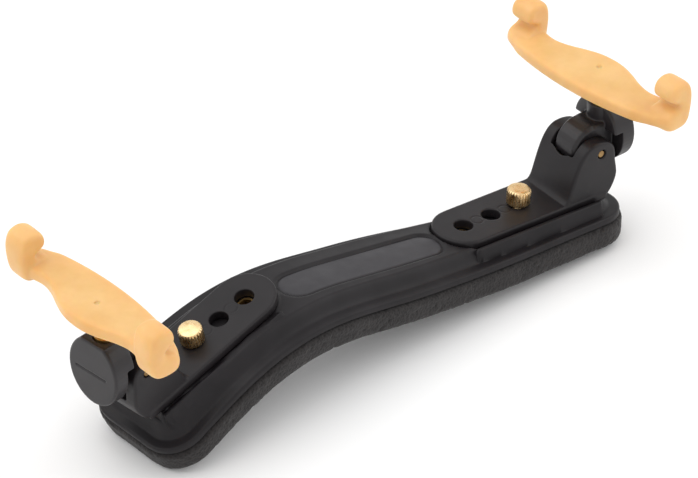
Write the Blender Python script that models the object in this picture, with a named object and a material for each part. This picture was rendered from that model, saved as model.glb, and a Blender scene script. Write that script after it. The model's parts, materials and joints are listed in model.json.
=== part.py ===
"""Violin shoulder rest: an arched base on a foam pad, with a folding fork at each end.

The rest lies on its pad. +X runs along it to the tall end, +Y across it, +Z up to the violin.
The long pieces are modelled flat, as s along the rest, v across it and h above the underside
of the foam, and then bent along one arched centre line.
"""

import math

import bmesh
import bpy
import numpy as np
from mathutils import Matrix, Vector

MM = 0.001
GAP = 0.3  # between pieces that touch, mm; every length below is in mm

# Arched centre line of the underside: (s, value) knots with smooth steps between them
LENGTH = 169.5
START = (-73.792, 2.558, 0.0363)
RAMP = ((0, 25), (14, 25), (71, -11), (102, -11), (136, -3.8), (168, -3.8))
HEADING = ((0, 1), (45, 1), (82, -1.2), (118, -3.8), (168, -3.8))
BANK = ((0, -1), (82, 0), (125, 4.5), (168, 4.5))
HALF_WIDTH = ((0, 19), (82, 16.6), (168, 13.4))

# Base and pad
FOAM_THICK = 7.0
FOAM_CORNER = 11.0
BASE_INSET = 0.8
BASE_RISE = 5.6
LIP_THICK = 1.8
LIP_WIDTH = 2.8
WALL_FOOT = 6.6
CROWN = 0.5
SHELL = 2.2
LABEL = dict(s0=52.0, s1=106.5, half_width=5.4, offset=-1.2, depth=0.5)

# Brackets: x points outward from the thumbscrew, z is the seat's normal
SIDES = {
    "left": dict(s=27.5, rise=-0.5, tilt=13.5, heading=5.0, outward=-1, turned=-6.0, plate_shift=3.4),
    "right": dict(s=137.0, rise=-0.6, tilt=-4.0, heading=-2.5, outward=1, turned=5.5, plate_shift=-2.4),
}
PLATE_THICK = 2.8
PLATE_HALF = 8.7
PLATE_INNER = -28.2
PITCH = 9.7
SLOT_HOLE_R = 2.7
TOWER_HALF = 8.5
CHEEK_GAP = 4.7
PIN_X, PIN_Z = 21.9, 15.5
PIN_R = 1.1
TOWER = (
    (5.0, 0.8), (8.4, 1.9), (10.2, 3.2), (11.2, 4.8), (12.3, 9.0), (13.6, 13.2), (15.2, 16.6),
    (17.2, 18.6), (19.6, 19.3), (22.2, 19.2), (24.8, 18.4), (26.6, 16.4), (27.3, 12.5), (28.3, 8.0),
    (27.9, 5.2), (26.8, 2.8), (25.4, 1.1), (23.8, 0.8),
)
CURVE_STEPS = 3  # straight pieces between two points of a drawn outline

# Thumbscrews and their inserts
KNOB_R, KNOB_H, KNOB_TEETH = 3.35, 4.7, 24
SHANK_R = 1.5
INSERT_R, INSERT_BORE, INSERT_LEN = 2.5, 1.9, 4.2

# Holders, measured from the hinge pin
KNUCKLE_R, KNUCKLE_HALF = 6.7, 4.3
LEG_X = 6.8
HOLDER_IN, HOLDER_STEP, HOLDER_OUT = 4.5, 7.2, 11.6
HOLDER_TOP, HOLDER_HALF, HOLDER_TALL, HOLDER_MID = 11.4, 8.9, 10.2, 2.2
BUSH_R, BUSH_BORE, BUSH_DEPTH = 2.9, 2.2, 9.0
BUSH_WALL_R = 4.1
LEG_R = 1.9
LEG_FOOT = 0.5

# Forks: plate heights above the pin
FORK_Z = {"left": 19.2, "right": 18.7}
FORK_THICK = 3.8
OUTLINE = (
    (6.8, 0.0), (6.4, 4.5), (5.0, 9.0), (3.2, 13.5), (2.3, 18.0), (3.0, 22.5), (4.2, 27.0),
    (2.6, 30.6), (-1.0, 31.2), (-4.8, 29.4), (-7.2, 24.0), (-8.8, 16.0), (-9.7, 8.0), (-10.0, 0.0),
)
CORE_THICK = 1.5
EYE_R = 3.0
SPIGOT_R = 1.3
PRONG_IN, PRONG_OUT = 23.0, 31.2
PRONG = (
    (-4.2, -0.4), (-2.4, -1.5), (2.0, -1.6), (4.0, -0.4), (5.0, 3.2), (5.4, 7.4), (4.9, 10.6),
    (3.4, 12.5), (0.4, 13.0), (-2.0, 12.0), (-3.0, 9.8), (-2.6, 7.8), (-0.8, 6.8), (0.4, 6.0),
    (-0.4, 5.0), (-3.2, 4.4), (-4.6, 2.4),
)

COLOURS = {
    "plastic": ((0.045, 0.042, 0.045), 0.42, 0.0),
    "foam": ((0.030, 0.029, 0.029), 0.95, 0.0),
    "amber": ((0.85, 0.50, 0.22), 0.38, 0.0),
    "brass": ((0.62, 0.42, 0.16), 0.30, 1.0),
    "steel": ((0.45, 0.45, 0.46), 0.35, 1.0),
}


def clear_scene():
    for obj in list(bpy.data.objects):
        bpy.data.objects.remove(obj, do_unlink=True)


def new_collection(name):
    collection = bpy.data.collections.new(name)
    bpy.context.scene.collection.children.link(collection)
    return collection


def material(name, kind):
    colour, roughness, metallic = COLOURS[kind]
    made = bpy.data.materials.new(name)
    made.use_nodes = True
    shader = made.node_tree.nodes["Principled BSDF"]
    shader.inputs["Base Color"].default_value = (*colour, 1.0)
    shader.inputs["Roughness"].default_value = roughness
    shader.inputs["Metallic"].default_value = metallic
    made.diffuse_color = (*colour, 1.0)
    return made


# ---------------------------------------------------------------- centre line


def stepped(knots, s):
    """The knots' value at s, with a smooth step from each knot to the next."""
    s = min(max(s, knots[0][0]), knots[-1][0])
    for (s0, a), (s1, b) in zip(knots, knots[1:]):
        if s <= s1:
            t = (s - s0) / (s1 - s0)
            return a + (b - a) * t * t * (3 - 2 * t)
    return knots[-1][1]


def directions(ramp, heading, bank):
    """Unit vectors along, across and above, from three angles in degrees."""
    ramp, heading, bank = (math.radians(angle) for angle in (ramp, heading, bank))
    along = Vector((math.cos(ramp) * math.cos(heading), math.cos(ramp) * math.sin(heading), math.sin(ramp)))
    level = Vector((-math.sin(heading), math.cos(heading), 0.0))
    above = along.cross(level)
    across = level * math.cos(bank) - above * math.sin(bank)
    return along, across, along.cross(across)


def centre_line(step=0.5):
    """(point, along, across, above) every half millimetre."""
    point, line = Vector(START), []
    for i in range(round(LENGTH / step) + 1):
        s = i * step
        along, across, above = directions(*(stepped(knots, s) for knots in (RAMP, HEADING, BANK)))
        line.append((point.copy(), along, across, above))
        point += along * step
    return line


LINE = centre_line()


def bent(s, v, h):
    """World position, in metres, of the flat point (s, v, h)."""
    i = min(max(round(s / 0.5), 0), len(LINE) - 1)
    point, along, across, above = LINE[i]
    return (point + along * (s - i * 0.5) + across * v + above * h) * MM


# ---------------------------------------------------------------- mesh helpers


def add_object(name, mesh, home, kind, frame=None):
    obj = bpy.data.objects.new(name, mesh)
    mesh.materials.append(material(name + "_material", kind))
    home.objects.link(obj)
    if frame is not None:
        obj.parent = frame
    return obj


def finish(bm, name, smooth=True):
    bmesh.ops.recalc_face_normals(bm, faces=bm.faces)
    mesh = bpy.data.meshes.new(name)
    bm.to_mesh(mesh)
    bm.free()
    if smooth:
        mesh.shade_smooth()
        mesh.set_sharp_from_angle(angle=math.radians(35))
    return mesh


def scaled(bm):
    bmesh.ops.scale(bm, vec=(MM, MM, MM), verts=bm.verts)


def prism(name, outline, low, high, plane="XZ", round_by=0.0, segments=2):
    """The outline of (a, b) points extruded from low to high along the plane's normal."""
    bm = bmesh.new()
    order = {"XZ": (0, 2, 1), "XY": (0, 1, 2), "YZ": (1, 2, 0)}[plane]
    ring = []
    for a, b in outline:
        co = [0.0, 0.0, 0.0]
        co[order[0]], co[order[1]], co[order[2]] = a, b, low
        ring.append(bm.verts.new(co))
    face = bm.faces.new(ring)
    moved = bmesh.ops.extrude_face_region(bm, geom=[face])
    shift = Vector((0.0, 0.0, 0.0))
    shift[order[2]] = high - low
    bmesh.ops.translate(bm, vec=shift, verts=[v for v in moved["geom"] if isinstance(v, bmesh.types.BMVert)])
    if round_by:
        rim = [e for e in bm.edges if abs(e.verts[0].co[order[2]] - e.verts[1].co[order[2]]) < 1e-6]
        bmesh.ops.bevel(bm, geom=rim, offset=round_by, segments=segments, affect="EDGES", profile=0.5)
    scaled(bm)
    return finish(bm, name)


def rod(name, radius, low, high, centre=(0.0, 0.0), axis="Z", sides=24, bevel=0.0):
    """A cylinder along an axis, with centre given on the other two axes in X, Y, Z order."""
    bm = bmesh.new()
    bmesh.ops.create_cone(
        bm, cap_ends=True, segments=sides, radius1=radius, radius2=radius, depth=high - low
    )
    if bevel:
        rim = [e for e in bm.edges if abs(e.verts[0].co.z - e.verts[1].co.z) < 1e-6]
        bmesh.ops.bevel(bm, geom=rim, offset=bevel, segments=1, affect="EDGES")
    middle = (low + high) / 2
    turn, spot = {
        "Z": (Matrix.Identity(3), (centre[0], centre[1], middle)),
        "Y": (Matrix.Rotation(math.pi / 2, 3, "X"), (centre[0], middle, centre[1])),
        "X": (Matrix.Rotation(math.pi / 2, 3, "Y"), (middle, centre[0], centre[1])),
    }[axis]
    bmesh.ops.rotate(bm, matrix=turn, verts=bm.verts)
    bmesh.ops.translate(bm, vec=spot, verts=bm.verts)
    scaled(bm)
    return finish(bm, name)


def curved(points, closed=True):
    """The outline with a smooth curve through its points, open ones keeping their two ends."""
    count = len(points)
    ring = []
    for i in range(count if closed else count - 1):
        if closed:
            four = [Vector(points[(i + k) % count]) for k in (-1, 0, 1, 2)]
        else:
            four = [Vector(points[min(max(i + k, 0), count - 1)]) for k in (-1, 0, 1, 2)]
        before, start, end, after = four
        bend = before - start * 2.5 + end * 2 - after / 2
        swing = (start - end) * 1.5 + (after - before) / 2
        for step in range(CURVE_STEPS):
            t = step / CURVE_STEPS
            ring.append(tuple(start + (end - before) * (t / 2) + bend * t**2 + swing * t**3))
    return ring if closed else ring + [tuple(points[-1])]


def box(name, low, high, bevel=0.0, segments=2):
    bm = bmesh.new()
    bmesh.ops.create_cube(bm, size=1.0)
    size = [b - a for a, b in zip(low, high)]
    bmesh.ops.scale(bm, vec=size, verts=bm.verts)
    bmesh.ops.translate(bm, vec=[(a + b) / 2 for a, b in zip(low, high)], verts=bm.verts)
    if bevel:
        bmesh.ops.bevel(bm, geom=list(bm.edges), offset=bevel, segments=segments, affect="EDGES", profile=0.5)
    scaled(bm)
    return finish(bm, name)


def combine(obj, mesh, operation="DIFFERENCE", frame=None):
    """Adds or removes a helper mesh given in the object's own frame, or in another frame."""
    tool = bpy.data.objects.new(f"{obj.name}_{operation.lower()}_{len(obj.modifiers)}", mesh)
    CUTTERS.objects.link(tool)
    tool.parent = frame if frame is not None else obj.parent
    tool.hide_render = True
    tool.display_type = "WIRE"
    boolean = obj.modifiers.new(operation.title(), "BOOLEAN")
    boolean.operation = operation
    boolean.solver = "EXACT"
    boolean.object = tool


# ---------------------------------------------------------------- base and pad


def end_distance(s, ends):
    return min(s - ends[0], ends[1] - s)


def edge_distance(s, v, half, corner, ends):
    """Distance in from the edge of a strip with rounded corners."""
    side, end = half - abs(v), end_distance(s, ends)
    if side < corner and end < corner:
        return corner - math.hypot(corner - side, corner - end)
    return min(side, end)


def strip_mesh(name, ends, half_width, corner, stations, columns, top, under, offset=lambda s: 0.0):
    """A closed strip bent along the centre line. Columns are the distances in from each side."""
    bm = bmesh.new()
    inner = 4
    across = 2 * len(columns) + inner - 1
    bmesh.ops.create_grid(bm, x_segments=len(stations) - 1, y_segments=across, size=0.5)
    # the grid runs from -0.5 to 0.5; its rows and columns are read back as whole numbers
    flat = {
        v: (round((v.co.x + 0.5) * (len(stations) - 1)), round((v.co.y + 0.5) * across))
        for v in bm.verts
    }
    lower = list(bm.verts)
    raised = bmesh.ops.extrude_face_region(bm, geom=list(bm.faces))
    upper = [v for v in raised["geom"] if isinstance(v, bmesh.types.BMVert)]
    nearest = {(round(v.co.x, 5), round(v.co.y, 5)): flat[v] for v in lower}
    for verts, height in ((lower, under), (upper, top)):
        for v in verts:
            i, j = nearest[(round(v.co.x, 5), round(v.co.y, 5))]
            s = stations[i]
            half = half_width(s)
            end = end_distance(s, ends)
            reach = half
            if end < corner:
                reach = half - corner + math.sqrt(max(corner**2 - (corner - end) ** 2, 0.0))
            k = min(j, across - j)
            if k < len(columns):
                across_at = reach - min(columns[k], reach * 0.9)
            else:
                left = reach - min(columns[-1], reach * 0.9)
                across_at = left * abs(1 - 2 * (k - len(columns) + 1) / (inner + 1))
            across_at = -across_at if j < across / 2 else across_at
            d = edge_distance(s, across_at, half, corner, ends)
            v.co = bent(s, across_at + offset(s), height(max(d, 0.0), s))
    return finish(bm, name)


def stations_between(ends, close, spacing):
    inside = np.linspace(ends[0] + close[-1], ends[1] - close[-1], round((ends[1] - ends[0]) / spacing))
    head = [ends[0] + d for d in close[:-1]]
    return head + list(inside) + [ends[1] - d for d in reversed(close[:-1])]


def foam_half(s):
    return stepped(HALF_WIDTH, s)


def base_half(s):
    return stepped(HALF_WIDTH, s) - BASE_INSET


def smooth(t):
    t = min(max(t, 0.0), 1.0)
    return t * t * (3 - 2 * t)


def base_top(d, s):
    rise = smooth((d - LIP_WIDTH) / (WALL_FOOT - LIP_WIDTH))
    crown = CROWN * smooth((d - WALL_FOOT) / 9.0)
    return FOAM_THICK + GAP + LIP_THICK + (BASE_RISE - LIP_THICK) * rise + crown


def base_under(d, s):
    return FOAM_THICK + GAP + (BASE_RISE - SHELL) * smooth((d - 5.4) / 2.4)


def foam_top(d, s):
    return FOAM_THICK - 0.5 * (1 - smooth(d / 1.0))


def foam_under(d, s):
    return 1.2 * (1 - smooth(d / 2.0))


def make_foam():
    ends = (0.0, LENGTH)
    stations = stations_between(ends, (0, 0.5, 1.6, 3.4, 6, 9.5), 7.0)
    mesh = strip_mesh(
        "foam_pad", ends, foam_half, FOAM_CORNER, stations, (0, 0.6, 2.0, 6.0), foam_top, foam_under
    )
    return add_object("foam_pad", mesh, PARTS, "foam")


def make_base():
    ends = (BASE_INSET, LENGTH - BASE_INSET)
    stations = stations_between(ends, (0, 0.4, 1.4, 2.8, 4.0, 5.3, 6.6, 8.4, 10.2), 5.5)
    columns = (0, 1.4, 2.8, 3.8, 4.8, 5.8, 6.8, 7.9)
    corner = FOAM_CORNER - BASE_INSET
    mesh = strip_mesh("base_plate", ends, base_half, corner, stations, columns, base_top, base_under)
    base = add_object("base_plate", mesh, PARTS, "plastic")
    for side, frame in FRAMES.items():
        combine(base, seat_mesh(), "UNION", frame)
        combine(base, rail_mesh(side, -PLATE_HALF - 1.5), "UNION")
        combine(base, footprint_mesh(), "DIFFERENCE", frame)
        for x in (0.0, -2 * PITCH):
            boss = rod("boss", 4.3, -INSERT_LEN - 0.1, -0.6, (x, 0.0), sides=20)
            combine(base, boss, "UNION", frame)
        for x in (0.0, -2 * PITCH):
            bore = rod("bore", INSERT_R + GAP, -INSERT_LEN - 0.4, 3.0, (x, 0.0), sides=20)
            combine(base, bore, "DIFFERENCE", frame)
    low, half = BASE_RISE + FOAM_THICK + GAP + CROWN - LABEL["depth"], LABEL["half_width"]
    span = (LABEL["s0"], LABEL["s1"])
    recess = strip_mesh(
        "label_recess", span, lambda s: half, half - 0.1, stations_between(span, (0, 0.3, 1.1, 2.6, 5.2), 5.0),
        (0, 1.5), lambda d, s: low + 4.0, lambda d, s: low, lambda s: LABEL["offset"],
    )
    combine(base, recess, "DIFFERENCE")
    return base


def seat_mesh():
    """Flat seat that fills the wedge between a bracket and the arch."""
    half = PLATE_HALF + 0.3
    outline = [(11.0, -half), (11.0, half)] + arc(PLATE_INNER + PLATE_HALF, 0, half, 90, 270, 17)
    return prism("seat", outline, -2.8, -GAP, "XY")


def rail_mesh(side, v):
    """Low ridge on the plateau beside a bracket's plate."""
    s = SIDES[side]["s"]
    a, b = sorted((s - 24.0 * SIDES[side]["outward"], s + 20.0 * SIDES[side]["outward"]))
    low = FOAM_THICK + GAP + BASE_RISE
    drift = math.tan(math.radians(SIDES[side]["heading"] - stepped(HEADING, s)))
    return strip_mesh(
        "rail", (a, b), lambda s: 0.55, 0.5, stations_between((a, b), (0, 0.15, 0.5), 4.0),
        (0, 0.2), lambda d, s: low + 0.9 * smooth(d / 0.3), lambda d, s: low - 4.4,
        lambda at: v + drift * (at - s),
    )


def footprint_mesh():
    """The room above a seat that its bracket fills."""
    grown = PLATE_HALF + 0.45
    outline = [(40.0, -grown), (40.0, grown)] + arc(PLATE_INNER + PLATE_HALF, 0, grown, 90, 270, 17)
    return prism("footprint", outline, -GAP, 9.0, "XY")


# ---------------------------------------------------------------- brackets and screws


def arc(cx, cy, r, start, end, count):
    angles = np.linspace(math.radians(start), math.radians(end), count)
    return [(cx + r * math.cos(a), cy + r * math.sin(a)) for a in angles]


def make_bracket(side):
    name, frame = side + "_bracket", FRAMES[side]
    outline = [(24.8, -PLATE_HALF), (24.8, PLATE_HALF)]
    outline += arc(PLATE_INNER + PLATE_HALF, 0, PLATE_HALF, 90, 270, 17)
    plate = prism(name, outline, 0.0, PLATE_THICK, "XY", 0.5, 2)
    bracket = add_object(name, plate, PARTS, "plastic", frame)
    tower = prism("tower", curved(TOWER, closed=False), -TOWER_HALF, TOWER_HALF, "XZ", 0.7, 2)
    combine(bracket, tower, "UNION")
    slot_floor = PIN_Z - KNUCKLE_R - 0.5
    slot = box("slot", (PIN_X - KNUCKLE_R - 0.7, -CHEEK_GAP, slot_floor), (40, CHEEK_GAP, 30))
    combine(bracket, slot)
    combine(bracket, rod("notch", CHEEK_GAP - 0.6, 5.0, 20.0, (0.0, PIN_Z + 2.5), "X", 20))
    combine(bracket, rod("pin_hole", PIN_R + GAP, -12, 12, (PIN_X, PIN_Z), "Y", 16))
    for i in range(3):
        combine(bracket, rod("hole", SLOT_HOLE_R, -1, 5, (-i * PITCH, 0.0), sides=20))
    return bracket


def make_thumbscrew(side):
    name, frame = side + "_thumbscrew", FRAMES[side]
    base_z = PLATE_THICK + GAP
    ring = []
    for i in range(2 * KNOB_TEETH):
        r = KNOB_R if i % 2 else KNOB_R - 0.32
        angle = math.pi * i / KNOB_TEETH
        ring.append((r * math.cos(angle), r * math.sin(angle)))
    head = prism(name, ring, base_z, base_z + KNOB_H, "XY")
    screw = add_object(name, head, PARTS, "brass", frame)
    shank = rod("shank", SHANK_R, -INSERT_LEN + 0.6, base_z + 1.0, sides=16)
    combine(screw, shank, "UNION")
    return screw


def make_inserts(side):
    for label, x in (("outer", 0.0), ("inner", -2 * PITCH)):
        name = f"{side}_{label}_insert"
        body = rod(name, INSERT_R, -INSERT_LEN, -GAP, (x, 0.0), sides=20)
        insert = add_object(name, body, PARTS, "brass", FRAMES[side])
        combine(insert, rod("thread", INSERT_BORE, -INSERT_LEN - 1, 1, (x, 0.0), sides=16))


def make_hinge_pin(side):
    half = TOWER_HALF - 0.25
    body = rod(side + "_hinge_pin", PIN_R, -half, half, (0.0, 0.0), "Y", 16, 0.2)
    return add_object(side + "_hinge_pin", body, PARTS, "brass", HINGES[side])


# ---------------------------------------------------------------- holders and forks


def make_holder(side):
    name, frame = side + "_fork_holder", HINGES[side]
    drum = prism(name, drum_section(), HOLDER_IN, HOLDER_OUT, "YZ", 0.6, 2)
    holder = add_object(name, drum, PARTS, "plastic", frame)
    combine(holder, box("step", (HOLDER_IN - 2, -12, -12), (HOLDER_STEP, 12, 4.3)))
    neck = box("neck", (0.5, -KNUCKLE_HALF, -4.6), (HOLDER_STEP + 1.0, KNUCKLE_HALF, 6.4), 0.5, 1)
    combine(holder, neck, "UNION")
    knuckle = rod("knuckle", KNUCKLE_R, 0.05 - KNUCKLE_HALF, KNUCKLE_HALF - 0.05, (0.0, 0.0), "Y", 28, 0.9)
    combine(holder, knuckle, "UNION")
    wall = rod("bush_wall", BUSH_WALL_R, 4.0, HOLDER_TOP - 0.4, (LEG_X, 0.0), sides=28)
    combine(holder, wall, "UNION")
    combine(holder, rod("pin_hole", PIN_R + GAP, -12, 12, (0.0, 0.0), "Y", 16))
    low = HOLDER_TOP - BUSH_DEPTH - GAP
    combine(holder, rod("pocket", BUSH_R + GAP, low, 20, (LEG_X, 0.0), sides=24))
    combine(holder, rod("leg_bore", LEG_R + GAP, -3.2, 6.0, (LEG_X, 0.0), sides=20))
    combine(holder, box("slit", (HOLDER_OUT - 0.5, -6.2, 1.4), (HOLDER_OUT + 1, 5.0, 2.0)))
    return holder


def drum_section():
    """Tall oval end view of the holder, flat on top."""
    ring = []
    for i in range(48):
        angle = 2 * math.pi * i / 48
        y, z = HOLDER_HALF * math.cos(angle), HOLDER_MID + HOLDER_TALL * math.sin(angle)
        if z < HOLDER_TOP:
            ring.append((y, z))
        elif not ring or ring[-1][1] < HOLDER_TOP:
            ring += [(4.4, HOLDER_TOP), (-4.4, HOLDER_TOP)]
    return ring


def make_bush(side):
    name = side + "_leg_bush"
    body = rod(name, BUSH_R, HOLDER_TOP - BUSH_DEPTH, HOLDER_TOP + 0.4, (LEG_X, 0.0), sides=24)
    bush = add_object(name, body, PARTS, "brass", HINGES[side])
    combine(bush, rod("thread", BUSH_BORE, -2, 20, (LEG_X, 0.0), sides=20))
    return bush


def make_leg(side):
    """Threaded leg under the fork, with a collar and a short spigot held by the core."""
    name = side + "_fork_leg"
    shaft = rod(name, LEG_R, LEG_FOOT - FORK_Z[side], 0.5, sides=20, bevel=0.3)
    leg = add_object(name, shaft, PARTS, "brass", FORKS[side])
    spigot = rod("spigot", SPIGOT_R, -1.5, (FORK_THICK + CORE_THICK) / 2 - 0.1, sides=16)
    combine(leg, spigot, "UNION")
    return leg


def fork_outline():
    """The plate's whole outline, mirrored across y = 0."""
    return curved(list(OUTLINE) + [(x, -y) for x, y in reversed(OUTLINE[1:-1])])


def make_core(side):
    name = side + "_fork_core"
    low = (FORK_THICK - CORE_THICK) / 2
    shift = SIDES[side]["plate_shift"]
    ring = [(x + shift, y) for x, y in core_ring(0.0)]
    core = add_object(name, prism(name, ring, low, low + CORE_THICK, "XY"), PARTS, "steel", FORKS[side])
    combine(core, rod("eye", EYE_R, low, low + CORE_THICK, sides=24), "UNION")
    combine(core, rod("spigot_hole", SPIGOT_R + GAP, -2, 8, sides=16))
    return core


def core_ring(grow):
    """Outline of the core plate, a smaller lens inside the cover."""
    half_x, half_y = 5.4 + grow, 21.0 + grow
    return [
        (-1.8 + half_x * math.cos(a) * (0.62 + 0.38 * abs(math.cos(a))), half_y * math.sin(a))
        for a in (2 * math.pi * i / 24 for i in range(24))
    ]


def make_cover(side):
    """Soft amber cover: the plate and both hooked prongs, hollow around the core."""
    name, frame, shift = side + "_fork_cover", FORKS[side], SIDES[side]["plate_shift"]
    ring = [(x + shift, y) for x, y in fork_outline()]
    plate = prism(name, ring, 0.0, FORK_THICK, "XY", 0.9, 2)
    cover = add_object(name, plate, PARTS, "amber", frame)
    profile = [(x + shift, z) for x, z in curved(PRONG)]
    for low, high in ((PRONG_IN, PRONG_OUT), (-PRONG_OUT, -PRONG_IN)):
        combine(cover, prism("prong", profile, low, high, "XZ", 1.3, 2), "UNION")
    low = (FORK_THICK - CORE_THICK) / 2
    pocket = [(x + shift, y) for x, y in core_ring(GAP)]
    combine(cover, prism("core_pocket", pocket, low - GAP, low + CORE_THICK + GAP, "XY"))
    combine(cover, rod("eye_pocket", EYE_R + GAP, low - GAP, low + CORE_THICK + GAP, sides=24))
    combine(cover, rod("leg_hole", LEG_R + GAP, -3, FORK_THICK / 2, sides=20))
    combine(cover, rod("locating_hole", 0.7, FORK_THICK / 2, 8, (shift * 0.6, 0.0), sides=12))
    return cover


# ---------------------------------------------------------------- frames


def add_frame(name, matrix):
    empty = bpy.data.objects.new(name, None)
    empty.empty_display_size = 0.01
    PARTS.objects.link(empty)
    empty.matrix_world = matrix
    return empty


def frame_matrix(x, y, z, origin):
    matrix = Matrix((x, y, z)).transposed().to_4x4()
    matrix.translation = origin * MM
    return matrix


def side_frames(side):
    """The bracket's frame, the hinge's upright frame on the pin, and the fork's on its leg."""
    spec = SIDES[side]
    along, across, above = directions(spec["tilt"], spec["heading"], 0.0)
    point, _, _, normal = LINE[round(spec["s"] / 0.5)]
    origin = point + normal * (FOAM_THICK + GAP + BASE_RISE + CROWN + spec["rise"])
    out, flat = along * spec["outward"], across * spec["outward"]
    bracket = add_frame(side + "_bracket_frame", frame_matrix(out, flat, above, origin))
    pin = origin + out * PIN_X + above * PIN_Z
    level_out = flat.cross(Vector((0, 0, 1)))
    hinge = add_frame(side + "_hinge_frame", frame_matrix(level_out, flat, Vector((0, 0, 1)), pin))
    foot = pin + level_out * LEG_X + Vector((0, 0, FORK_Z[side]))
    turn = Matrix.Rotation(math.radians(spec["turned"]), 3, "Z")
    fork = add_frame(
        side + "_fork_frame", frame_matrix(turn @ level_out, turn @ flat, Vector((0, 0, 1)), foot)
    )
    return bracket, hinge, fork


clear_scene()
PARTS = new_collection("violin_shoulder_rest")
CUTTERS = new_collection("cutters")
CUTTERS.hide_render = True
FRAMES, HINGES, FORKS = {}, {}, {}
for one in SIDES:
    FRAMES[one], HINGES[one], FORKS[one] = side_frames(one)
bpy.context.view_layer.update()

make_foam()
make_base()
for one in SIDES:
    make_bracket(one)
    make_thumbscrew(one)
    make_inserts(one)
    make_hinge_pin(one)
    make_holder(one)
    make_bush(one)
    make_leg(one)
    make_core(one)
    make_cover(one)
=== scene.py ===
"""Looks of the violin shoulder rest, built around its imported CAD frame.

Lengths in the shape code are millimetres in the row frame; the finished meshes are in metres.
The base and the pad are rebuilt finely on the same bent centre line as the CAD. The brackets,
holders, fork covers and hinge pins are softened copies of their CAD nodes. The thumbscrews and
threaded legs are new. The fork cores, bushes and inserts are the CAD's own, with better materials.
"""

import json
import math

import bmesh
import bpy
import numpy as np
from mathutils import Matrix, Vector, noise


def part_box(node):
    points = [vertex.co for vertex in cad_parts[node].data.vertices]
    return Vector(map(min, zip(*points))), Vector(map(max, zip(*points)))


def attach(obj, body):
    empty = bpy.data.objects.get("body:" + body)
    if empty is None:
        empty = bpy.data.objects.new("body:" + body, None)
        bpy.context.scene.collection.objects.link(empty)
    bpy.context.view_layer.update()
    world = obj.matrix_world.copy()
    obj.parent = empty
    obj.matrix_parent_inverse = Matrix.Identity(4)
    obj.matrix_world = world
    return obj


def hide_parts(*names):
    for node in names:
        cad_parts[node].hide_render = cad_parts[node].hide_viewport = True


MM = 0.001
GAP = 0.3

# Bent centre line, base and pad, as in the CAD
LENGTH = 169.5
START = (-73.792, 2.558, 0.0363)
RAMP = ((0, 25), (14, 25), (71, -11), (102, -11), (136, -3.8), (168, -3.8))
HEADING = ((0, 1), (45, 1), (82, -1.2), (118, -3.8), (168, -3.8))
BANK = ((0, -1), (82, 0), (125, 4.5), (168, 4.5))
HALF_WIDTH = ((0, 19), (82, 16.6), (168, 13.4))
FOAM_THICK, CORNER = 7.0, 11.0
BASE_INSET, BASE_RISE = 0.8, 5.6
LIP_THICK, LIP_WIDTH, WALL_FOOT = 1.8, 2.8, 6.6
CROWN, SHELL = 0.5, 2.2
LABEL = dict(start=52.0, end=106.5, half=5.4, offset=-1.2, depth=0.5)

# Brackets, screws and forks, as in the CAD; a bracket's x points outward from its thumbscrew
PLATE_THICK, PLATE_HALF, PLATE_END = 2.8, 8.7, -19.5
PITCH = 9.7
INSERT_R, INSERT_LEN = 2.5, 4.2
BOSS_R = 4.3
KNOB_R, KNOB_H, KNOB_TEETH = 3.35, 4.7, 24
SHANK_R, LEG_R, SPIGOT_R = 1.5, 1.9, 1.3
LEG_TOP, SPIGOT_TOP = 0.5, 2.55
FORK_SHIFT = {"left": 3.4, "right": -2.4}  # of a fork's outline from its leg

# Details that only the looks have
EDGE_ROUND, EDGE_DROP = 0.8, 0.7  # the lip's rounded rim
PANEL_GROOVE, PANEL_GROOVE_WIDTH = 0.45, 0.42  # round the label panel
SHELL_FROM, SHELL_BLEND, LEAST_WALL = 5.4, 2.4, 0.6  # the hollow under the base
SEAT_OUT, SEAT_BLEND = 22.0, 2.0  # how far out a seat stays flat
BRACKET_REACH = 40.0  # no seat or ridge further out than this
RIDGE_Y, RIDGE_R = PLATE_HALF + 1.5, 0.9
RIDGE_MID, RIDGE_REACH = -0.5, 21.6
RIDGE_LOW = {"left": -0.5, "right": 0.6}
RING_R, RING_WIDTH, RING_DEPTH = 1.75, 0.2, 0.16  # moulded rings between a plate's holes
HOOK_FROM, HOOK_BLEND = 22.0, 4.0  # where a fork's hooks begin, from its middle
PITCH_LEG, PITCH_SCREW = 1.0, 0.7
FLUTE = 0.34

SIDES = ("left", "right")
COARSE = 1.0

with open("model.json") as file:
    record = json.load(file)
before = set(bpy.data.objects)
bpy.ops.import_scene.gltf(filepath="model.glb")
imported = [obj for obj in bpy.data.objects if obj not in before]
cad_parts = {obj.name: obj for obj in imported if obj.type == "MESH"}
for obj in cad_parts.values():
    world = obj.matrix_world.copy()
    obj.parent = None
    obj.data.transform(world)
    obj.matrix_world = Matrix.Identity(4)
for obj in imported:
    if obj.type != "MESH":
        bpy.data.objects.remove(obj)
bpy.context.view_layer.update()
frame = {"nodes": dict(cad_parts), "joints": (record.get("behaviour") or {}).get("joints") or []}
NODES = frame["nodes"]
JOINTS = {joint["name"]: joint for joint in frame["joints"]}


# ---------------------------------------------------------------- local frames


def frame_of(origin, across, up):
    """A matrix from a frame's millimetres to the row frame's millimetres."""
    across, up = Vector(across).normalized(), Vector(up).normalized()
    matrix = Matrix((across.cross(up), across, up)).transposed().to_4x4()
    matrix.translation = Vector(origin) / MM
    return matrix


def across_of(side):
    return -Vector(JOINTS[side + "_fork_fold"]["axis"])


def bracket_frame(side):
    screw = JOINTS[side + "_thumbscrew_turn"]
    return frame_of(screw["pos_m"], across_of(side), screw["axis"])


def fork_frame(side):
    return frame_of(JOINTS[side + "_fork_turn"]["pos_m"], across_of(side), (0, 0, 1))


# ---------------------------------------------------------------- mesh helpers


def ease(t):
    t = np.clip(t, 0.0, 1.0)
    return t * t * (3 - 2 * t)


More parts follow.
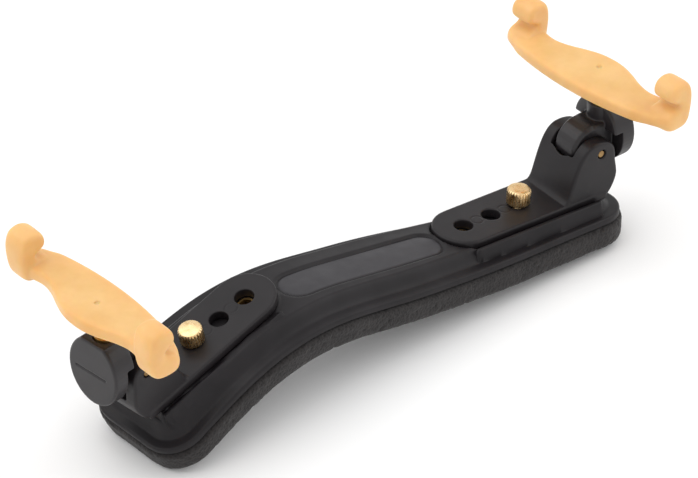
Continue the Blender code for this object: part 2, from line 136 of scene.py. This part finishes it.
def stepped(knots, s):
    """The knots' values at s, with a smooth step from each knot to the next."""
    s = np.asarray(s, float)
    value = np.full(s.shape, float(knots[0][1]))
    for (s0, a), (s1, b) in zip(knots, knots[1:]):
        value = np.where(s > s0, a + (b - a) * ease((s - s0) / (s1 - s0)), value)
    return value


def new_piece(name, mesh, body, *nodes):
    piece = bpy.data.objects.new(name, mesh)
    bpy.context.scene.collection.objects.link(piece)
    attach(piece, body)
    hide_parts(*nodes)
    return piece


def mesh_of(name, points, faces):
    mesh = bpy.data.meshes.new(name)
    mesh.from_pydata([tuple(p) for p in points], [], [tuple(f) for f in faces])
    return mesh


def evaluated(mesh, *modifiers):
    """The mesh after (type, settings) modifiers; its object is only a helper."""
    helper = bpy.data.objects.new("helper", mesh)
    bpy.context.scene.collection.objects.link(helper)
    for kind, settings in modifiers:
        modifier = helper.modifiers.new(kind, kind)
        for key, value in settings.items():
            setattr(modifier, key, value)
    graph = bpy.context.evaluated_depsgraph_get()
    made = bpy.data.meshes.new_from_object(helper.evaluated_get(graph))
    bpy.data.objects.remove(helper)
    return made


def combined(mesh, others, operation):
    """The mesh after each of the others, in the same millimetres, is added or cut."""
    tools = []
    steps = []
    for other in others:
        tool = bpy.data.objects.new("tool", other)
        bpy.context.scene.collection.objects.link(tool)
        tools.append(tool)
        steps.append(("BOOLEAN", dict(object=tool, operation=operation, solver="MANIFOLD")))
    made = evaluated(mesh, *steps)
    for tool in tools:
        bpy.data.objects.remove(tool)
    return made


def points_of(mesh):
    co = np.empty(len(mesh.vertices) * 3)
    mesh.vertices.foreach_get("co", co)
    return co.reshape(-1, 3)


def move_points(mesh, points):
    mesh.vertices.foreach_set("co", np.asarray(points, float).ravel())
    mesh.update()


def normals_of(mesh):
    normals = np.empty(len(mesh.vertices) * 3)
    mesh.vertices.foreach_get("normal", normals)
    return normals.reshape(-1, 3)


def local_points(mesh, matrix):
    back = np.array(matrix.inverted())
    return points_of(mesh) @ back[:3, :3].T + back[:3, 3]


def to_metres(mesh, sharp=None):
    mesh.transform(Matrix.Scale(MM, 4))
    mesh.shade_smooth()
    if sharp:
        mesh.set_sharp_from_angle(angle=math.radians(sharp))
    return mesh


def noise_at(points, size, seed):
    """Smooth noise from -1 to 1 at each point, with features of about that size in mm."""
    shift = Vector((seed * 17.3, seed * 5.1, seed * 9.7))
    return np.array([noise.noise(Vector(p) / size + shift) for p in points])


def grid_solid(name, top, under):
    """A closed mesh between two (rows, columns, 3) grids of points."""
    rows, columns = top.shape[:2]
    index = np.arange(rows * columns).reshape(rows, columns)
    quads = np.stack([index[:-1, :-1], index[1:, :-1], index[1:, 1:], index[:-1, 1:]], -1).reshape(-1, 4)
    below = quads[:, ::-1] + rows * columns
    rim = np.concatenate([index[0, :-1], index[:-1, -1], index[-1, :0:-1], index[:0:-1, 0]])
    after = np.roll(rim, -1)
    walls = np.stack([rim, after, after + rows * columns, rim + rows * columns], -1)
    points = np.concatenate([top.reshape(-1, 3), under.reshape(-1, 3)])
    mesh = mesh_of(name, points, np.concatenate([quads, below, walls]).tolist())
    outward = bmesh.new()
    outward.from_mesh(mesh)
    bmesh.ops.recalc_face_normals(outward, faces=outward.faces)
    outward.to_mesh(mesh)
    outward.free()
    return mesh


def rod(radius, low, high, x=0.0, y=0.0, matrix=None, sides=48):
    """A closed cylinder along z in a frame."""
    solid = bmesh.new()
    bmesh.ops.create_cone(
        solid, cap_ends=True, segments=sides, radius1=radius, radius2=radius, depth=high - low
    )
    mesh = bpy.data.meshes.new("rod")
    solid.to_mesh(mesh)
    solid.free()
    mesh.transform((matrix or Matrix.Identity(4)) @ Matrix.Translation((x, y, (low + high) / 2)))
    return mesh


def turned(name, radius_at, heights, sides, matrix):
    """A closed body of rings round z: radius_at(height number, angles) gives each ring's radii."""
    angles = np.linspace(0, 2 * math.pi, sides, endpoint=False)
    rings = []
    for i, z in enumerate(heights):
        r = radius_at(i, angles)
        rings.append(np.stack([r * np.cos(angles), r * np.sin(angles), np.full(sides, float(z))], -1))
    points = np.concatenate(rings + [[[0, 0, heights[0]], [0, 0, heights[-1]]]])
    faces = []
    for i in range(len(heights) - 1):
        for k in range(sides):
            a, b = i * sides + k, i * sides + (k + 1) % sides
            faces.append((a, b, b + sides, a + sides))
    last, foot, crown = (len(heights) - 1) * sides, len(heights) * sides, len(heights) * sides + 1
    for k in range(sides):
        after = (k + 1) % sides
        faces.append((after, k, foot))
        faces.append((last + k, last + after, crown))
    mesh = mesh_of(name, points, faces)
    mesh.transform(matrix)
    return mesh


# ---------------------------------------------------------------- bent strip


def centre_line(step=0.5):
    """Stations every half millimetre, with the point and the across and above vectors at each."""
    stations = np.arange(0, LENGTH + step / 2, step)
    ramp, heading, bank = (np.radians(stepped(knots, stations)) for knots in (RAMP, HEADING, BANK))
    along = np.stack([np.cos(ramp) * np.cos(heading), np.cos(ramp) * np.sin(heading), np.sin(ramp)], -1)
    level = np.stack([-np.sin(heading), np.cos(heading), np.zeros_like(heading)], -1)
    above = np.cross(along, level)
    across = level * np.cos(bank)[:, None] - above * np.sin(bank)[:, None]
    points = np.array(START) + np.concatenate([np.zeros((1, 3)), np.cumsum(along[:-1] * step, 0)])
    return stations, points, across, np.cross(along, across)


STATIONS, LINE, ACROSS, ABOVE = centre_line()


def on_line(values, s):
    return np.stack([np.interp(s, STATIONS, values[:, k]) for k in range(3)], -1)


def bent(s, v, h):
    """Row-frame points of the flat points (s, v, h)."""
    return on_line(LINE, s) + on_line(ACROSS, s) * v[..., None] + on_line(ABOVE, s) * h[..., None]


def edge_distance(s, v, half, corner, ends):
    """Distance in from the edge of a strip with rounded corners."""
    side, end = half - np.abs(v), np.minimum(s - ends[0], ends[1] - s)
    rounded = corner - np.hypot(corner - side, corner - end)
    return np.where((side < corner) & (end < corner), rounded, np.minimum(side, end))


def strip_grid(ends, inset, spacing):
    """(s, v, distance to the edge) over a rounded strip, in rows along it."""
    rows = round((ends[1] - ends[0]) / spacing)
    columns = round(2 * HALF_WIDTH[0][1] / spacing * 1.15)
    t = np.linspace(0, 1, rows)
    close = np.sin((t - 0.5) * math.pi) / 2 + 0.5  # closer rows near the ends
    s = ends[0] + (ends[1] - ends[0]) * (t * 0.75 + close * 0.25)
    side = np.linspace(-1, 1, columns)
    side = side * 0.8 + np.sin(side * math.pi / 2) * 0.2
    half = stepped(HALF_WIDTH, s) - inset
    corner = CORNER - inset
    end = np.minimum(s - ends[0], ends[1] - s)
    tuck = np.where(end < corner, corner - np.sqrt(np.maximum(corner**2 - (corner - end) ** 2, 0)), 0)
    s, v = np.broadcast_arrays(s[:, None], (half - tuck)[:, None] * side[None, :])
    return s, v, np.maximum(edge_distance(s, v, half[:, None], corner, ends), 0)


# ---------------------------------------------------------------- base and pad


def base_heights(s, v, d):
    """Height of the base's top, and how far each point is on the label panel, the share that gets the
    painted sheen.
    """
    wall = ease((d - LIP_WIDTH) / (WALL_FOOT - LIP_WIDTH))
    rounded = 1 - np.sqrt(1 - (1 - np.clip(d / EDGE_ROUND, 0, 1)) ** 2)
    h = FOAM_THICK + GAP + LIP_THICK - EDGE_DROP * rounded + (BASE_RISE - LIP_THICK) * wall
    h = h + CROWN * ease((d - WALL_FOOT) / 9)
    ends = (LABEL["start"], LABEL["end"])
    panel = edge_distance(s, v - LABEL["offset"], LABEL["half"], LABEL["half"] - 0.1, ends)
    h = h - LABEL["depth"] * ease(panel / 0.5 + 0.5)
    h = h - PANEL_GROOVE * np.exp(-((panel / PANEL_GROOVE_WIDTH) ** 2))
    return h, ease((panel - 0.45) / 0.4)


def seat_heights(s, v, side):
    """Height of a bracket's seat plane over (s, v), and the plane's own x and y there."""
    matrix = bracket_frame(side)
    x_axis, y_axis, up, origin = (np.array(matrix.col[k][:3]) for k in range(4))
    foot = bent(s, v, np.zeros_like(s)) - origin
    above = on_line(ABOVE, s)
    h = (-GAP - foot @ up) / (above @ up)
    spot = foot + above * h[..., None]
    return h, spot @ x_axis, spot @ y_axis


def add_seats(s, v, h):
    """Flat seats under both brackets, with a round-topped ridge along the near side of each."""
    for side in SIDES:
        plane, x, y = seat_heights(s, v, side)
        edge = PLATE_HALF + GAP - np.hypot(np.minimum(x - PLATE_END, 0), y)
        inside = ease(edge / 0.5 + 0.5)
        seat = np.where(x < SEAT_OUT, plane, np.minimum(h, plane))
        fall = ease((x - SEAT_OUT) / SEAT_BLEND + 0.5)
        seat = seat * (1 - fall) + np.minimum(h, plane) * fall
        h = np.where(x < BRACKET_REACH, h * (1 - inside) + seat * inside, h)
        near = y if side == "left" else -y
        off = np.hypot(near - RIDGE_Y, np.maximum(np.abs(x - RIDGE_MID) - RIDGE_REACH, 0))
        ridge = plane + GAP + RIDGE_LOW[side] + np.sqrt(np.maximum(RIDGE_R**2 - off**2, 0))
        h = h + np.maximum(ridge - h, 0) * ease((RIDGE_R + 0.2 - off) / 0.4) * (x < BRACKET_REACH)
    return h


def make_base():
    ends = (BASE_INSET, LENGTH - BASE_INSET)
    s, v, d = strip_grid(ends, BASE_INSET, 0.42 * COARSE)
    h, panel = base_heights(s, v, d)
    h = add_seats(s, v, h)
    under = FOAM_THICK + GAP + (BASE_RISE - SHELL) * ease((d - SHELL_FROM) / SHELL_BLEND)
    mesh = grid_solid("base_shell", bent(s, v, h), bent(s, v, np.minimum(under, h - LEAST_WALL)))
    # The label panel's share, kept so that base_look can paint its sheen there
    panel_sheen_mask = mesh.attributes.new("panel", "FLOAT", "POINT")
    shares = np.concatenate([panel.ravel(), np.zeros(panel.size)])
    panel_sheen_mask.data.foreach_set("value", shares.astype(np.float32))
    bosses, bores = [], []
    for side in SIDES:
        for x in (0.0, -2 * PITCH):
            bosses.append(rod(BOSS_R, -INSERT_LEN - 0.1, -0.6, x, matrix=bracket_frame(side)))
            bores.append(rod(INSERT_R + GAP, -INSERT_LEN - 0.4, 3.0, x, matrix=bracket_frame(side)))
    mesh = combined(combined(mesh, bosses, "UNION"), bores, "DIFFERENCE")
    base = new_piece("base_shell", to_metres(mesh, 50), "rest", "base_plate")
    return base


def make_pad():
    """The foam: rounded edges, softly uneven sides and small open cells."""
    s, v, d = strip_grid((0.0, LENGTH), 0.0, 1.0)
    edge = 1 - np.sqrt(1 - (1 - np.clip(d / 1.1, 0, 1)) ** 2)
    top = FOAM_THICK - 0.25 - 0.9 * edge
    under = 1.3 * edge
    mesh = grid_solid("pad", bent(s, v, top), bent(s, v, under))
    mesh = evaluated(
        mesh,
        ("REMESH", dict(mode="VOXEL", voxel_size=0.48 * COARSE)),
        ("SMOOTH", dict(factor=0.5, iterations=5)),
    )
    points = points_of(mesh)
    cells = noise_at(points, 0.85, 1)
    pits = np.maximum(noise_at(points, 1.5, 2) - 0.28, 0)
    waves = noise_at(points, 9.0, 3)
    sink = 0.10 + 0.07 * cells + 0.7 * pits - 0.12 * waves
    move_points(mesh, points - normals_of(mesh) * np.maximum(sink, 0.0)[:, None])
    pad = new_piece("open_cell_pad", to_metres(mesh), "rest", "foam_pad")
    return pad


# ---------------------------------------------------------------- softened CAD pieces


def softened(node, voxel, smoothing):
    """A fine, softly rounded copy of a CAD node's mesh, in millimetres."""
    mesh = NODES[node].data.copy()
    mesh.transform(Matrix.Scale(1 / MM, 4))
    return evaluated(
        mesh,
        ("WELD", dict(merge_threshold=0.002)),
        ("REMESH", dict(mode="VOXEL", voxel_size=voxel * COARSE)),
        ("SMOOTH", dict(factor=0.5, iterations=smoothing)),
    )


def make_bracket(side):
    """Bracket with the faint moulded rings between its holes."""
    name = side + "_bracket"
    mesh = softened(name, 0.22, 5)
    local = local_points(mesh, bracket_frame(side))
    sink = np.zeros(len(local))
    top = np.exp(-(((local[:, 2] - PLATE_THICK) / 0.3) ** 2))
    for x in (-0.5 * PITCH, -1.5 * PITCH):
        ring = np.hypot(local[:, 0] - x, local[:, 1]) - RING_R
        sink += RING_DEPTH * top * np.exp(-((ring / RING_WIDTH) ** 2))
    up = np.array(bracket_frame(side).col[2][:3])
    move_points(mesh, points_of(mesh) - up * sink[:, None])
    piece = new_piece(name + "_moulding", to_metres(mesh), "rest", name)
    return piece


def make_holder(side):
    name = side + "_fork_holder"
    mesh = softened(name, 0.18, 6)
    piece = new_piece(name + "_moulding", to_metres(mesh), side + "_holder_body", name)
    return piece


def make_cover(side):
    """Soft cover with rounder hooks and a shallow hole near its middle."""
    name = side + "_fork_cover"
    mesh = softened(name, 0.26, 12)
    rounder = points_of(evaluated(mesh.copy(), ("SMOOTH", dict(factor=0.5, iterations=130))))
    local = local_points(mesh, fork_frame(side))
    share = ease((np.abs(local[:, 1]) - HOOK_FROM) / HOOK_BLEND)[:, None]
    move_points(mesh, points_of(mesh) * (1 - share) + rounder * share)
    hole_floor = rod(1.0, 3.0, 3.4, 0.6 * FORK_SHIFT[side], matrix=fork_frame(side))
    mesh = combined(mesh, [hole_floor], "UNION")
    piece = new_piece(name + "_rubber", to_metres(mesh), side + "_fork_body", name)
    return piece


# ---------------------------------------------------------------- brass


def thread(radius, low, high, pitch, depth, matrix, name):
    """A threaded rod: rings close enough for the ridge to wind round it."""
    heights = np.arange(low, high, pitch / 8)

    def radius_at(i, angles):
        z = heights[i]
        wave = np.abs(((z / pitch - angles / (2 * math.pi)) % 1) * 2 - 1)
        run = ease(np.clip(min(z - low, heights[-1] - z) / (0.5 * pitch), 0, 1))
        return radius - depth * (1 - wave * run)

    return turned(name, radius_at, heights, 48, matrix)


def make_thumbscrew(side):
    """Coarsely fluted head with a chamfered rim, on a threaded shank."""
    name, matrix = side + "_thumbscrew", bracket_frame(side)
    low = PLATE_THICK + GAP
    profile = (
        (0.0, 0.86), (0.25, 0.93), (0.25, 0.93), (0.4, 1.0), (KNOB_H - 0.75, 1.0), (KNOB_H - 0.6, 1.0),
        (KNOB_H - 0.25, 0.945), (KNOB_H - 0.06, 0.88), (KNOB_H, 0.84), (KNOB_H, 0.3),
    )
    heights = [low + z for z, _ in profile]

    def radius_at(i, angles):
        flute = FLUTE * ease(0.5 - 0.9 * np.cos(angles * KNOB_TEETH))
        share = profile[i][1]
        return np.minimum(KNOB_R - flute, KNOB_R * share) if share < 1 else KNOB_R - flute

    head = turned(name, radius_at, heights, KNOB_TEETH * 12, matrix)
    shank = thread(SHANK_R, 0.6 - INSERT_LEN, low + 1.0, PITCH_SCREW, 0.2, matrix, "shank")
    mesh = combined(head, [shank], "UNION")
    piece = new_piece(name + "_fluted", to_metres(mesh, 40), side + "_thumbscrew_body", name)
    return piece


def make_leg(side):
    name, matrix = side + "_fork_leg", fork_frame(side)
    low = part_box(name)[0].z / MM - matrix.translation.z
    shaft = thread(LEG_R, low, LEG_TOP, PITCH_LEG, 0.28, matrix, "shaft")
    spigot = rod(SPIGOT_R, -1.0, SPIGOT_TOP, matrix=matrix)
    mesh = combined(shaft, [spigot], "UNION")
    piece = new_piece(name + "_threaded", to_metres(mesh, 40), side + "_leg_body", name)
    return piece


def make_pin(side):
    """Drawn pin with domed ends."""
    name = side + "_hinge_pin"
    mesh = softened(name, 0.12, 6)
    piece = new_piece(name + "_drawn", to_metres(mesh), "rest", name)
    return piece


# ---------------------------------------------------------------- materials


class Look:
    """A material whose nodes are added in a few words."""

    def __init__(self, name):
        self.material = bpy.data.materials.new(name)
        self.material.use_nodes = True
        self.tree = self.material.node_tree
        self.shader = self.tree.nodes["Principled BSDF"]
        self.where = self.add("ShaderNodeTexCoord").outputs["Object"]
        self.tint = None  # the base colour, where a look is built on another

    def add(self, kind, **settings):
        node = self.tree.nodes.new(kind)
        for key, value in settings.items():
            setattr(node, key, value)
        return node

    def join(self, output, socket):
        self.tree.links.new(output, socket)

    def noise(self, size, detail=2.0, roughness=0.5):
        """Noise with features of that size in mm."""
        node = self.add("ShaderNodeTexNoise")
        self.join(self.where, node.inputs["Vector"])
        node.inputs["Scale"].default_value = 1 / (size * MM)
        node.inputs["Detail"].default_value = detail
        node.inputs["Roughness"].default_value = roughness
        return node.outputs["Fac"]

    def cells(self, size):
        node = self.add("ShaderNodeTexVoronoi")
        self.join(self.where, node.inputs["Vector"])
        node.inputs["Scale"].default_value = 1 / (size * MM)
        return node.outputs["Distance"]

    def ramp(self, value, *stops):
        node = self.add("ShaderNodeValToRGB")
        self.join(value, node.inputs["Fac"])
        elements = node.color_ramp.elements
        while len(elements) < len(stops):
            elements.new(0.5)
        for element, (position, colour) in zip(elements, stops):
            element.position = position
            element.color = (*colour, 1.0)
        return node.outputs["Color"]

    def between(self, value, low, high):
        """The value's 0.3 to 0.7 stretched from low to high."""
        node = self.add("ShaderNodeMapRange")
        self.join(value, node.inputs["Value"])
        for socket, number in zip(("From Min", "From Max", "To Min", "To Max"), (0.3, 0.7, low, high)):
            node.inputs[socket].default_value = number
        return node.outputs["Result"]

    def mix(self, share, first, second):
        node = self.add("ShaderNodeMix", data_type="RGBA")
        self.join(share, node.inputs["Factor"])
        self.join(first, node.inputs[6])
        self.join(second, node.inputs[7])
        return node.outputs[2]

    def attribute(self, name):
        return self.add("ShaderNodeAttribute", attribute_name=name).outputs["Fac"]

    def bump(self, height, distance, strength=1.0, under=None):
        node = self.add("ShaderNodeBump")
        self.join(height, node.inputs["Height"])
        node.inputs["Distance"].default_value = distance * MM
        node.inputs["Strength"].default_value = strength
        if under is not None:
            self.join(under, node.inputs["Normal"])
        return node.outputs["Normal"]

    def set(self, **values):
        for key, value in values.items():
            self.shader.inputs[key.replace("_", " ")].default_value = value

    def drive(self, **outputs):
        for key, output in outputs.items():
            self.join(output, self.shader.inputs[key.replace("_", " ")])


def plastic(name, light, dark, rough, shine, patch=14.0):
    """Black moulded plastic, in patches of that many mm, with a fine grain and faint flow marks."""
    look = Look(name)
    look.tint = look.ramp(look.noise(patch, 3.0), (0.35, dark), (0.68, light))
    fine = look.noise(0.35, 2.0, 0.6)
    worn = look.between(look.noise(5.0, 4.0, 0.6), rough - 0.04, rough + 0.05)
    look.drive(Base_Color=look.tint, Roughness=worn)
    wave = look.bump(look.noise(6.0, 1.0), 0.05, 0.25)
    look.drive(Normal=look.bump(fine, 0.02, 0.45, wave))
    look.set(Specular_IOR_Level=shine)
    return look


def base_look():
    """The base's plastic, with painted sheen on the label panel: a paler colour there stands in for
    light reflected off its glossier face.
    """
    dark, light = (0.0085, 0.0070, 0.0082), (0.0130, 0.0110, 0.0126)
    look = plastic("black_base_plastic", light, dark, 0.46, 0.24, 11.0)
    # Painted sheen: a paler colour on the label panel stands in for reflected light
    painted_panel_sheen = look.ramp(look.noise(4.0, 2.0), (0.3, (0.036, 0.034, 0.038)), (0.7, (0.045, 0.043, 0.047)))
    look.drive(Base_Color=look.mix(look.attribute("panel"), look.tint, painted_panel_sheen))
    return look.material


def foam_look():
    """Open-cell foam: painted shade in the cells between paler walls, in uneven patches."""
    look = Look("black_foam")
    cell = look.cells(0.75)
    speck = look.noise(0.55, 3.0, 0.75)
    # Painted shade: darkest at each cell's middle, where the open pore lies in shade
    painted_pore_shade = look.ramp(cell, (0.12, (0.006, 0.005, 0.005)), (0.62, (0.029, 0.026, 0.026)))
    dull, pale = (0.015, 0.0135, 0.0135), (0.033, 0.030, 0.0295)
    patches = look.ramp(look.noise(7.0, 3.0), (0.3, dull), (0.75, pale))
    look.drive(Base_Color=look.mix(look.between(speck, 0.15, 0.85), painted_pore_shade, patches))
    low = look.bump(cell, 0.3, 0.5)
    look.drive(Normal=look.bump(speck, 0.25, 0.5, low))
    look.set(Roughness=0.95, Specular_IOR_Level=0.12, Sheen_Weight=0.12, Sheen_Roughness=0.6)
    return look.material


def amber_look():
    """Soft amber rubber, faintly cloudy, that light enters."""
    look = Look("amber_rubber")
    cloud = look.noise(9.0, 3.0, 0.55)
    tint = look.ramp(cloud, (0.32, (0.72, 0.410, 0.145)), (0.7, (0.79, 0.480, 0.195)))
    look.drive(Base_Color=tint, Roughness=look.between(look.noise(3.0, 4.0), 0.36, 0.48))
    look.drive(Normal=look.bump(look.noise(1.2, 3.0, 0.6), 0.03, 0.3))
    look.set(
        Subsurface_Weight=0.55, Subsurface_Radius=(1.0, 0.50, 0.16), Subsurface_Scale=0.0022,
        Specular_IOR_Level=0.35,
    )
    return look.material


def brass_look(name, light, dark, rough, grain=0.15):
    """Brass with tarnish in patches and a fine uneven grain."""
    look = Look(name)
    tint = look.ramp(look.noise(2.2, 4.0, 0.6), (0.30, dark), (0.55, light))
    look.drive(Base_Color=tint)
    look.drive(Roughness=look.between(look.noise(1.1, 4.0, 0.7), rough - 0.07, rough + 0.1))
    look.drive(Normal=look.bump(look.noise(0.35, 3.0, 0.6), 0.006, grain))
    look.set(Metallic=1.0)
    return look.material


def steel_look():
    look = Look("sheet_steel")
    tint = look.ramp(look.noise(3.0, 4.0), (0.3, (0.36, 0.36, 0.37)), (0.7, (0.52, 0.52, 0.53)))
    look.drive(Base_Color=tint, Roughness=look.between(look.noise(0.6, 3.0), 0.3, 0.45))
    look.drive(Normal=look.bump(look.noise(0.5, 2.0), 0.01, 0.3))
    look.set(Metallic=1.0)
    return look.material


def dress(obj, material):
    obj.data.materials.clear()
    obj.data.materials.append(material)


# ---------------------------------------------------------------- stage

CAMERA_FROM = (-41.0, 37.0)  # azimuth and elevation, degrees
CAMERA_DISTANCE = 1.35
CAMERA_PIVOT = (0.0055, 0.0022, -0.0002)
CAMERA_AIM = (0.0122, 0.0167, 0.0203)
CAMERA_LENS = 256.9


def make_camera():
    azimuth, elevation = (math.radians(angle) for angle in CAMERA_FROM)
    level = math.cos(elevation)
    back = Vector((math.sin(azimuth) * level, -math.cos(azimuth) * level, math.sin(elevation)))
    data = bpy.data.cameras.new("camera")
    data.lens = CAMERA_LENS
    data.clip_start, data.clip_end = 0.05, 20.0
    camera = bpy.data.objects.new("camera", data)
    camera.location = Vector(CAMERA_PIVOT) + back * CAMERA_DISTANCE
    camera.rotation_euler = (Vector(CAMERA_AIM) - camera.location).to_track_quat("-Z", "Y").to_euler()
    bpy.context.scene.collection.objects.link(camera)
    bpy.context.scene.camera = camera


def make_floor():
    """Plain pale floor, large enough to fill every view."""
    solid = bmesh.new()
    bmesh.ops.create_circle(solid, cap_ends=True, segments=96, radius=6.0)
    mesh = bpy.data.meshes.new("floor")
    solid.to_mesh(mesh)
    solid.free()
    floor = bpy.data.objects.new("floor", mesh)
    floor.location.z = -0.0001
    bpy.context.scene.collection.objects.link(floor)
    look = Look("pale_floor")
    shade, pale = (0.90, 0.90, 0.90), (0.93, 0.93, 0.93)
    look.drive(Base_Color=look.ramp(look.noise(400.0), (0.3, shade), (0.7, pale)))
    look.set(Roughness=0.9, Specular_IOR_Level=0.0)
    dress(floor, look.material)


def area_light(name, power, size, place, target=(0.0, 0.0, 0.03)):
    data = bpy.data.lights.new(name, "AREA")
    data.energy, data.size = power, size
    light = bpy.data.objects.new(name, data)
    light.location = place
    light.rotation_euler = (Vector(target) - Vector(place)).to_track_quat("-Z", "Y").to_euler()
    bpy.context.scene.collection.objects.link(light)


def make_lights():
    world = bpy.data.worlds.new("studio")
    world.use_nodes = True
    world.node_tree.nodes["Background"].inputs["Color"].default_value = (1.0, 1.0, 1.0, 1.0)
    world.node_tree.nodes["Background"].inputs["Strength"].default_value = 0.93
    bpy.context.scene.world = world
    area_light("key", 8.0, 1.6, (-0.45, 0.45, 1.1))
    area_light("fill", 3.0, 0.9, (0.9, -0.5, 0.7))
    bpy.context.scene.view_settings.view_transform = "Standard"


# ---------------------------------------------------------------- build

# Light and dark tints
BRACKET_BLACK = (0.0165, 0.0140, 0.0155), (0.0110, 0.0093, 0.0105)
HOLDER_BLACK = (0.022, 0.0193, 0.0212), (0.0145, 0.0127, 0.0140)
POLISHED_BRASS = (0.88, 0.65, 0.36), (0.72, 0.48, 0.22)
PLAIN_BRASS = (0.70, 0.46, 0.18), (0.45, 0.27, 0.09)
# Painted shade: the hinge pin's brass is darkened to stand in for the recess it sits in
PIN_BRASS_PAINTED_SHADE = (0.36, 0.23, 0.10), (0.20, 0.12, 0.05)

dress(make_base(), base_look())
dress(make_pad(), foam_look())
bracket_look = plastic("black_bracket_plastic", *BRACKET_BLACK, 0.42, 0.27).material
holder_look = plastic("black_holder_plastic", *HOLDER_BLACK, 0.38, 0.38).material
rubber = amber_look()
screw_brass = brass_look("screw_brass", *POLISHED_BRASS, 0.27, 0.2)
plain_brass = brass_look("turned_brass", *PLAIN_BRASS, 0.34)
# The hinge pins get the darkened brass as painted shade of their recess
pin_brass = brass_look("pin_brass", *PIN_BRASS_PAINTED_SHADE, 0.42)
steel = steel_look()
for one in SIDES:
    dress(make_bracket(one), bracket_look)
    dress(make_holder(one), holder_look)
    dress(make_cover(one), rubber)
    dress(make_thumbscrew(one), screw_brass)
    dress(make_leg(one), plain_brass)
    dress(make_pin(one), pin_brass)
    dress(NODES[one + "_fork_core"], steel)
    for part in ("_leg_bush", "_outer_insert", "_inner_insert"):
        dress(NODES[one + part], plain_brass)
make_floor()
make_lights()
make_camera()
